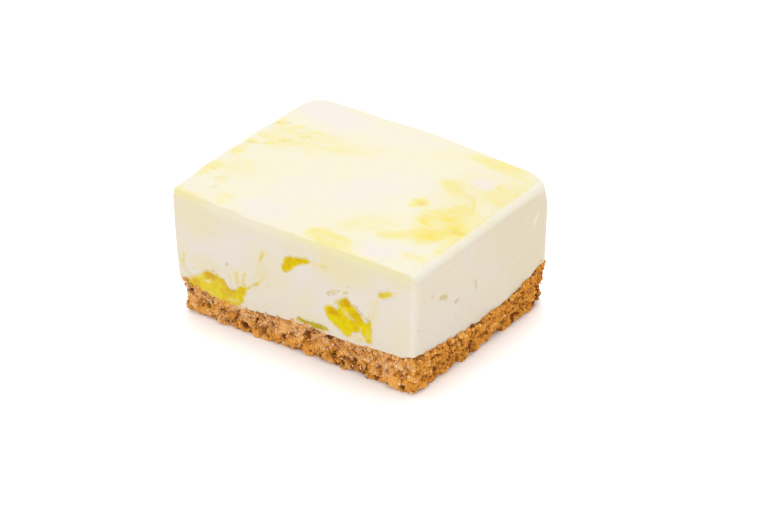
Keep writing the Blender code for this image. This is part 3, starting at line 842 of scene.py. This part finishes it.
def make_cheese(material):
    piece = copy_of_node("cheese_filling", "cheese")
    work_fine(piece, CHEESE_GRAIN, 4)
    select_faces(piece, is_underneath)
    bpy.ops.transform.translate(value=(0, 0, -SETTLING * MM))
    thin_out(piece, is_hidden, CHEESE_KEPT)
    select_faces(piece, lambda centre, normal: facing_cut(normal) & near_cut(centre))
    bpy.ops.mesh.subdivide(number_cuts=1)
    enter("OBJECT")
    flatten_cut(piece)
    soften_edges(piece)
    paint_cheese(piece)
    ripple(piece, "swell", 11, 0.45, "uncut")
    ripple(piece, "skin", 2.6, 0.10, "uncut")
    ripple(piece, "ridges", 1.5, 0.80, "ridged")
    press(piece, 1.0, "pits")
    piece.vertex_groups.clear()
    finish_piece(piece, material, "cheese")
    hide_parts("cheese_filling")


def make_torn_bits(material):
    """Small torn scraps of cheese that cling to the edges of the curd."""
    draw = np.random.default_rng(TORN_SEED)
    spots = []
    for start, end, count in TORN_LINES:
        for share in draw.random(count):
            x, z = np.add(start, np.subtract(end, start) * share) + draw.normal(size=2) * 0.22
            spots.append((x, cut_level(x, z), z))
    spots = np.array(spots)
    layers = {
        "white": draw.random(len(spots)),
        "yolk": 0.4 * draw.random(len(spots)),
        "curd": np.where(draw.random(len(spots)) < 0.35, 0.5, 0.05),
    }
    sizes = draw_sizes(draw, len(spots), 0.50, 1.20)
    middles = sunk_in(spots, np.tile(TOWARDS_CUT, (len(spots), 1)), sizes, 0.30)
    scatter("torn_bits", middles, rough_shapes(3, 0.10, 1.0), sizes, layers, (material, "cheese"), draw)


# Curd

# Deeper yellow in each pocket, and olive in the same way: dabs at x and z
CURD_DEPTHS = (
    (-27, 13.9, 2.4, 1.2, 0, 0.9),
    (-17.2, 12.8, 1.4, 1.2, 0, 0.15),
    (-21, 11.2, 2.4, 1.6, 0, 0.45),
    (-32, 10.4, 1.6, 1.2, 0, 0.4),
    (16.8, 20.8, 1.9, 1.5, 0, 1),
    (13, 16.6, 2.2, 1.2, -10, 0.85),
    (19.5, 17.6, 2, 2, 0, 0.5),
    (-0.4, 26.6, 2.6, 1.1, 50, 0.46),
    (2.6, 28, 2, 0.8, 15, 0.36),
)
CURD_OLIVES = (
    (6, 10.6, 6, 1.2, 0, 1),
    (20.6, 18.9, 1.4, 0.6, -45, 0.5),
    (14.4, 20.4, 0.8, 0.5, 50, 0.35),
    (28.6, 26.8, 1.4, 0.5, 25, 0.2),
    (-19.5, 11.6, 1.4, 0.5, 10, 0.35),
)


def cut_level(flat_x, flat_z):
    """The y of the knife's cut at that x and z."""
    return -HALF_DEPTH + CUT_SKEW * flat_x / HALF_LENGTH + CUT_LEAN * (1 - flat_z / TOP_LEVEL)


def from_others(place, chosen):
    """How far each chosen place lies from the nearest one that isn't, seen from the cut, in mm."""
    others = np.flatnonzero(~chosen & near_cut(place))
    tree = kdtree.KDTree(len(others))
    for index in others:
        tree.insert((place[index, 0], 0.0, place[index, 2]), int(index))
    tree.balance()
    away = np.zeros(len(place))
    for index in np.flatnonzero(chosen):
        away[index] = tree.find((place[index, 0], 0.0, place[index, 2]))[2]
    return away


def make_curd(node, name, material):
    """A ribbon of curd that fills its pocket to the edge and was cut flat by the knife."""
    piece = copy_of_node(node, name)
    work_fine(piece, CURD_GRAIN, 2)
    press(piece, -CURD_SWELL)
    place, _ = points_of(piece)
    at_cut = soft_step((-HALF_DEPTH + 4.0 - place[:, 1]) / 2.0)[:, None]
    frayed = wobble(place, 1.3, CURD_FRAY) + wobble(place, 0.7, CURD_FRAY * 0.4)
    place = place + frayed * at_cut * (1.0, 0.0, 1.0)
    front = cut_level(place[:, 0], place[:, 2]) - CURD_PROUD
    ahead = place[:, 1] < front
    dip = 1 - soft_step(from_others(place, ahead) / DIP_WIDTH)
    place[ahead, 1] = (front + CURD_DIP * dip)[ahead]
    move_points(piece, place)
    set_curd_layers(piece, place, curd_share(place))
    finish_piece(piece, material, "curd")
    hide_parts(node)


# Base

CRUMB_SEED = 7
SHAPE_COUNT = 7
CLIMBING_CRUMBS = 60
CLIMB_BACK = 29.2             # the y at which they start
CLIMB_RUN = 5.5               # how far they reach from there towards the cut
CLIMB_FOOT = 11.6             # the z of the lowest
CLIMB_HEIGHT = 3.6            # how high they climb at the corner
CLIMB_FALL = 3.0              # and how much less at their other end
CLIMB_FACING = (0.92, 0.39, 0.0)
CLIMB_LOOK = (0.1, 0.6, 0.0)
GAP_PAINTED_SHADE = 0.28          # painted shade: how much darker a crumb is for each mm that it lies in from the side, and a little lighter where it stands out
SHADE_SPREAD = 0.26
BURNT_SHARE = 0.22            # of the crumbs are much darker
CRUMB_ROOM = 0.7              # the base's left end stands back by this, to leave room for crumbs
CUT_FLOUR = 0.46
SIDE_PAINTED_SHADE = 0.08             # painted shade: how much darker the crumbs are halfway from the cut to the back

# Holes in the cut base, pressed in and darkened as painted shade: x, z and radius
BASE_PITS = (
    (-34.2, 6.9, 0.8),
    (-28.8, 4.4, 0.8),
    (-22.1, 1.7, 0.8),
    (-16.5, 2.2, 1),
    (-12.7, 4.6, 0.6),
    (-10, 6.7, 0.5),
    (-4, 2.8, 0.7),
    (3.9, 6.5, 1.1),
    (9.9, 7.7, 0.8),
    (12.2, 3.4, 0.7),
    (14.6, 1.9, 0.8),
    (18.2, 3.6, 0.8),
    (22, 4.6, 0.8),
    (20.2, 1.6, 0.7),
    (25, 1.2, 0.8),
    (33.2, 1.4, 0.7),
    (29, 1, 0.7),
)
PIT_DEPTH = 1.4

# Large crumbs at the cut, as x, z, size and shade, and at the right side, as y, z, size and shade
CUT_LUMPS = (
    (31.2, 2.5, 3.8, 0.68),
    (34.9, 2.7, 3.4, 0.66),
    (28, 2.4, 3, 0.74),
    (3, 2.6, 2.6, 0.56),
    (7, 4.4, 2.8, 0.62),
    (-21, 3.6, 2.6, 0.5),
    (-33.5, 3, 3, 0.5),
)
RIGHT_LUMPS = (
    (20.6, 9, 3.4, 0.62),
    (25.4, 8.4, 3.2, 0.56),
    (23, 5.6, 3.4, 0.52),
    (16.2, 4.2, 3.6, 0.42),
    (12.6, 2.4, 2.8, 0.52),
    (19, 1.9, 3, 0.52),
    (8.2, 3.2, 3.2, 0.4),
    (11.6, 8.2, 2.8, 0.5),
    (4.6, 6.2, 2.6, 0.48),
    (-0.6, 2.2, 2.6, 0.46),
    (-3.9, 6, 2.4, 0.5),
    (-8.7, 4.6, 2.4, 0.52),
    (-15.9, 5.6, 2.2, 0.5),
    (-22.6, 4.2, 2.4, 0.48),
    (-27.8, 2.4, 3, 0.52),
)
LUMP_SINK = 0.42
# Where few loose crumbs lie, on a smooth face or a large crumb: dabs at x and z
BARE_SPOTS = (
    (-2, 7.4, 4.5, 2.2, 0, 0.95),
    (31.2, 2.4, 1.9, 1.8, 0, 0.95),
    (34.9, 2.6, 1.7, 1.7, 0, 0.95),
)
FOOT_DEPTH = 1.2              # the base's foot stands in by this at the far right corner
FAR_INSET = 0.7               # and the crumbs there by this
# Where flour shows most: dabs at x and z
FLOUR_SPOTS = (
    (28, 4.4, 1.9, 1.5, 20, 0.95),
    (13.5, 8.6, 3.2, 1.1, 0, 0.6),
    (-2, 7.6, 4.6, 2, 0, 0.34),
)


def side_depth(place):
    """How far each place lies in from the nearest side of the square, in mm."""
    to_cut = place[:, 1] - cut_level(place[:, 0], place[:, 2])
    to_back = HALF_DEPTH - place[:, 1]
    to_right = HALF_LENGTH - 0.9 - place[:, 0]
    to_left = HALF_LENGTH - 0.9 + place[:, 0]
    return np.min([to_cut, to_back, to_right, to_left], axis=0)


def right_level(flat_y, flat_z):
    """The x of the right side at that y and z."""
    lean = RIGHT_LEAN_NEAR + (RIGHT_LEAN_FAR - RIGHT_LEAN_NEAR) * (0.5 + flat_y / HALF_DEPTH / 2)
    return HALF_LENGTH - lean * (1 - flat_z / TOP_LEVEL)


def rim_level(flat_y, flat_z):
    """The x at which crumbs cling to the right side: it stands in at the far end, as the base does."""
    return right_level(flat_y, flat_z) - FAR_INSET * soft_step((flat_y - 20.0) / 8.0)


def pit_share(place):
    """How much each place lies in one of the holes of the cut base."""
    share = np.zeros(len(place))
    for x, z, radius in BASE_PITS:
        away = np.hypot(place[:, 0] - x, place[:, 2] - z)
        share = np.maximum(share, soft_step(1.5 - away / radius))
    return share * near_cut(place)


def bare_share(place):
    """How bare of loose crumbs each place is."""
    return near_cut(place) * strongest(place[:, [0, 2]], BARE_SPOTS)


def far_foot(place):
    """How near each place is to the base's foot at the far right corner."""
    near = soft_step((place[:, 0] - 33.0) / 3.0) * soft_step((place[:, 1] - 24.0) / 4.0)
    return near * soft_step((13.0 - place[:, 2]) / 8.0)


def crumb_shade(place, level):
    """Painted shade: darker where a place lies deeper in from the side, in a hole or farther from the cut.
    """
    behind = soft_step((place[:, 1] + HALF_DEPTH - 2.0) / 3.0)
    deep = GAP_PAINTED_SHADE * np.clip(side_depth(place) - 0.3, -0.4, 2.0)
    farther = SIDE_PAINTED_SHADE * (1 + place[:, 1] / HALF_DEPTH)
    return level - deep - farther * behind - 0.4 * pit_share(place)


def cut_flour(place):
    """How floury each place is: most in the upper half of the cut."""
    at_cut = soft_step((-HALF_DEPTH + 2.5 - place[:, 1]) / 2.0)
    upper = soft_step((place[:, 2] - 2.5) / 5.0)
    clouds = soft_step(wobble(place, 4.5, 1.6)[:, 0] + 0.35)
    flour = (0.28 + 0.72 * upper) * (0.25 + 0.75 * clouds) * CUT_FLOUR
    return at_cut * np.maximum(flour, strongest(place[:, [0, 2]], FLOUR_SPOTS))


def make_base(material):
    piece = copy_of_node("crumb_base", "base")
    work_fine(piece, BASE_GRAIN, 1)
    thin_out(piece, lambda centre, normal: (np.abs(normal[:, 2]) > 0.8)
             & (np.abs(centre[:, 0]) < HALF_LENGTH - 3) & (np.abs(centre[:, 1]) < HALF_DEPTH - 3), BASE_KEPT)
    place, _ = points_of(piece)
    set_group(piece, "left", soft_step((-HALF_LENGTH + 3.0 - place[:, 0]) / 1.5))
    press(piece, CRUMB_ROOM, "left")
    set_group(piece, "foot", far_foot(place))
    press(piece, FOOT_DEPTH, "foot")
    set_group(piece, "rough", 1 - 0.7 * bare_share(place))
    ripple(piece, "clumps", 2.6, 1.8, "rough")
    piece.vertex_groups.clear()
    place, _ = points_of(piece)
    set_group(piece, "pits", pit_share(place))
    press(piece, PIT_DEPTH, "pits")
    piece.vertex_groups.clear()
    ripple(piece, "grains", 0.9, 0.9)
    place, _ = points_of(piece)
    place[:, 2] = np.maximum(place[:, 2], 0.0)
    move_points(piece, place)
    set_layers(piece, {"shade": crumb_shade(place, 0.50), "flour": cut_flour(place)})
    finish_piece(piece, material, "crumb")
    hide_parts("crumb_base")
    return piece


def rough_shapes(rounds, roughness, kept):
    """A few rough lumps of about 1 mm, to be copied: points and triangles of each."""
    shapes = []
    for number in range(SHAPE_COUNT):
        deselect()
        bpy.ops.mesh.primitive_ico_sphere_add(subdivisions=rounds, radius=0.5)
        lump = bpy.context.object
        enter("EDIT")
        bpy.ops.mesh.select_all(action="SELECT")
        bpy.ops.transform.vertex_random(offset=roughness, uniform=0.6, normal=0.3, seed=number + 1)
        bpy.ops.transform.resize(value=(1.0 + 0.06 * number, 0.85, 0.72))
        if kept < 1:
            bpy.ops.mesh.decimate(ratio=kept)
        bpy.ops.mesh.quads_convert_to_tris()
        enter("OBJECT")
        points = np.array([vert.co for vert in lump.data.vertices])
        faces = np.array([list(face.vertices) for face in lump.data.polygons])
        shapes.append((points, faces))
        bpy.data.objects.remove(lump)
    return shapes


def draw_sizes(draw, count, smallest, largest):
    """Random sizes in mm, the small ones more often."""
    return smallest * (largest / smallest) ** draw.random(count)


def side_spots(base, count, draw, wanted):
    """Random spots on the base's sides: places in mm and normals."""
    centre, normal, area = faces_of(base)
    overhung = (centre[:, 0] < -HALF_LENGTH + 1.6) & (centre[:, 2] > 8.4)
    weight = area * wanted(centre, normal) * (1 - pit_share(centre)) * (1 - bare_share(centre)) * ~overhung
    chosen = draw.choice(len(weight), count, p=weight / weight.sum())
    return centre[chosen], normal[chosen]


def on_sides(centre, normal):
    outer = (np.abs(centre[:, 0]) > HALF_LENGTH - 3.5) | (np.abs(centre[:, 1]) > HALF_DEPTH - 3.5)
    above_floor = np.clip((centre[:, 2] - 0.2) / 1.4, 0.12, 1)
    return outer * (normal[:, 2] > -0.8) * above_floor


def at_rim(centre, normal):
    """The rim of the base's top, where crumbs cling to the foot of the cheese."""
    outer = (np.abs(centre[:, 0]) > HALF_LENGTH - 1.8) | (np.abs(centre[:, 1]) > HALF_DEPTH - 1.3)
    return outer & (normal[:, 2] > 0.5) & (centre[:, 2] > 6)


def off_cut(centre, normal):
    return on_sides(centre, normal) * (centre[:, 1] > -HALF_DEPTH + 2.0)


def at_right_rim(centre, normal):
    return at_rim(centre, normal) & (centre[:, 0] > HALF_LENGTH - 2.4)


def more_on_cut(centre, normal):
    upper = np.clip((centre[:, 2] - 2.0) / 6.0, 0.1, 1)
    return on_sides(centre, normal) * (centre[:, 1] < -HALF_DEPTH + 2.5) * upper


def to_rim(spots, draw):
    """Slide spots on the base's rim out to the side, and some a little up the cheese."""
    slid = spots.copy()
    cut = cut_level(spots[:, 0], spots[:, 2])
    at_cut = spots[:, 1] < cut + 2
    at_end = ~at_cut & (np.abs(spots[:, 0]) > HALF_LENGTH - 2.4)
    slid[at_cut, 1] = cut[at_cut] + 0.1
    level = rim_level(spots[:, 1], spots[:, 2]) + 0.15
    slid[at_end, 0] = np.where(spots[:, 0] > 0, level, -HALF_LENGTH + CRUMB_ROOM + 1.5)[at_end]
    slid[:, 2] += 0.8 * draw.random(len(spots)) ** 2 - 0.1
    return slid


def climbing_spots(count, draw):
    """Spots on the cheese's right side where crumbs were dragged up the far corner."""
    along = draw.random(count)
    y = CLIMB_BACK - CLIMB_RUN * along + draw.normal(size=count) * 0.5
    z = CLIMB_FOOT + (CLIMB_HEIGHT - CLIMB_FALL * along) * draw.random(count) ** 0.6
    x = HALF_LENGTH - 0.75 - np.clip(y - 28.0, 0, 2) * 0.55
    return np.column_stack((x, y, z)), np.tile(CLIMB_FACING, (count, 1))


def sunk_in(spots, normals, sizes, sink):
    """The middles of crumbs that sit in the surface by that share of their size."""
    return spots - normals * sizes[:, None] * sink


def scatter(name, middles, shapes, sizes, layers, finish, draw):
    """Join copies of the shapes at those middles, each with its own size and turn and its own
    value in every layer."""
    all_points = []
    all_faces = []
    counts = []
    for middle, size in zip(middles, sizes):
        points, faces = shapes[draw.integers(len(shapes))]
        turn = np.linalg.qr(draw.normal(size=(3, 3)))[0]
        turn *= np.sign(np.linalg.det(turn))
        placed = points * size @ turn.T + middle
        placed[:, 2] = np.maximum(placed[:, 2], 0.02)
        all_points.append(placed)
        all_faces.append(faces + sum(counts))
        counts.append(len(points))
    mesh = bpy.data.meshes.new(name)
    mesh.from_pydata((np.concatenate(all_points) * MM).tolist(), [], np.concatenate(all_faces).tolist())
    piece = add_piece(name, mesh)
    set_layers(piece, {layer: np.repeat(values, counts) for layer, values in layers.items()})
    finish_piece(piece, *finish)


def scatter_crumbs(name, spots, normals, shapes, sizes, look, material, draw):
    """Scatter crumbs. Their look: how deep they sit, their shade and how floury they are."""
    sink, shade, flour = look
    count = len(spots)
    spread = draw.normal(size=count) * SHADE_SPREAD - 0.35 * (draw.random(count) < BURNT_SHARE)
    spread *= np.where(facing_cut(normals), 1.0, 0.6)
    middles = sunk_in(spots, normals, sizes, sink)
    layers = {
        "shade": crumb_shade(middles, shade) + spread,
        "flour": np.maximum(cut_flour(spots) * (0.3 + 1.2 * draw.random(count)), flour * draw.random(count)),
    }
    scatter(name, middles, shapes, sizes, layers, (material, "crumb"), draw)


def scatter_lumps(material):
    """The largest crumbs, set one by one."""
    spots = [(x, cut_level(x, z), z) for x, z, _, _ in CUT_LUMPS]
    spots += [(rim_level(y, z), y, z) for y, z, _, _ in RIGHT_LUMPS]
    spots = np.array(spots)
    normals = np.repeat((TOWARDS_CUT, TOWARDS_RIGHT), (len(CUT_LUMPS), len(RIGHT_LUMPS)), axis=0)
    sizes, shades = np.transpose(CUT_LUMPS + RIGHT_LUMPS)[2:]
    scatter("lumps", sunk_in(spots, normals, sizes, LUMP_SINK), rough_shapes(4, 0.05, 1.0), sizes,
            {"shade": shades, "flour": 0.5 * cut_flour(spots)}, (material, "crumb"),
            np.random.default_rng(CRUMB_SEED))


def make_crumbs(base, material):
    shapes = rough_shapes(2, 0.16, 0.6)
    for name, count, wanted, smallest, largest, *look in CRUMB_KINDS:
        draw = np.random.default_rng(CRUMB_SEED + count)
        spots, normals = side_spots(base, count, draw, wanted)
        if wanted in (at_rim, at_right_rim):
            spots = to_rim(spots, draw)
        sizes = draw_sizes(draw, count, smallest, largest)
        scatter_crumbs(name, spots, normals, shapes, sizes, look, material, draw)
    scatter_lumps(material)
    draw = np.random.default_rng(CRUMB_SEED)
    spots, normals = climbing_spots(CLIMBING_CRUMBS, draw)
    sizes = draw_sizes(draw, CLIMBING_CRUMBS, 0.4, 1.5)
    scatter_crumbs("climbing_crumbs", spots, normals, shapes, sizes, CLIMB_LOOK, material, draw)


# Each kind: name, count, where, smallest and largest size, how deep it sits, shade, flour
CRUMB_KINDS = (
    ("coarse_crumbs", 560, on_sides, 1.1, 2.1, 0.34, 0.6, 0),
    ("large_crumbs", 150, off_cut, 2, 3.4, 0.36, 0.58, 0),
    ("fine_crumbs", 3700, on_sides, 0.4, 1.1, 0.14, 0.63, 0),
    ("rim_crumbs", 900, at_rim, 0.4, 1.2, 0.1, 0.58, 0),
    ("right_rim_crumbs", 420, at_right_rim, 0.6, 1.8, 0.1, 0.54, 0),
    ("floury_crumbs", 1100, more_on_cut, 0.3, 0.9, 0.05, 0.76, 0.9),
)


# Stage

def make_stage():
    deselect()
    bpy.ops.mesh.primitive_plane_add(size=FLOOR_WIDTH)
    floor = bpy.context.object
    floor.name = "floor"
    floor.data.materials.append(floor_finish())

    world = bpy.data.worlds.new("studio")
    world.use_nodes = True
    background = world.node_tree.nodes["Background"].inputs
    background["Color"].default_value = (1.0, 1.0, 1.0, 1)
    background["Strength"].default_value = WORLD_STRENGTH
    bpy.context.scene.world = world

    for light in LIGHTS:
        add_light(*light)


def add_light(name, place, size, power):
    deselect()
    bpy.ops.object.light_add(type="AREA", location=place)
    light = bpy.context.object
    light.name = name
    light.data.shape = "DISK"
    light.data.size = size
    light.data.energy = power
    light.rotation_euler = (Vector(LIGHT_AIM) - Vector(place)).to_track_quat("-Z", "Y").to_euler()


def make_camera():
    azimuth = math.radians(CAMERA_AZIMUTH)
    elevation = math.radians(CAMERA_ELEVATION)
    back = Vector((
        math.sin(azimuth) * math.cos(elevation),
        -math.cos(azimuth) * math.cos(elevation),
        math.sin(elevation),
    ))
    deselect()
    bpy.ops.object.camera_add(location=(Vector(CAMERA_TARGET) + back * CAMERA_DISTANCE) * MM)
    camera = bpy.context.object
    camera.rotation_euler = (-back).to_track_quat("-Z", "Y").to_euler()
    camera.data.sensor_width = SENSOR_WIDTH
    camera.data.lens = SENSOR_WIDTH * FOCAL_PIXELS / PHOTO_WIDTH_PIXELS
    camera.data.clip_start = 0.01
    bpy.context.scene.camera = camera


# The whole

noise.seed_set(FRAY_SEED)
cheese_material = filling_finish("cheese", 0.12)
curd_material = filling_finish("curd", 0.0)
crumb_material = crumb_finish()

make_cheese(cheese_material)
make_torn_bits(filling_finish("torn_cheese", 0.0))
for curd_node in ("curd_left", "curd_upper", "curd_right", "curd_foot", "curd_dab"):
    make_curd(curd_node, f"{curd_node}_gloss", curd_material)
make_crumbs(make_base(crumb_material), crumb_material)

make_stage()
make_camera()
bpy.context.scene.view_settings.view_transform = "Standard"
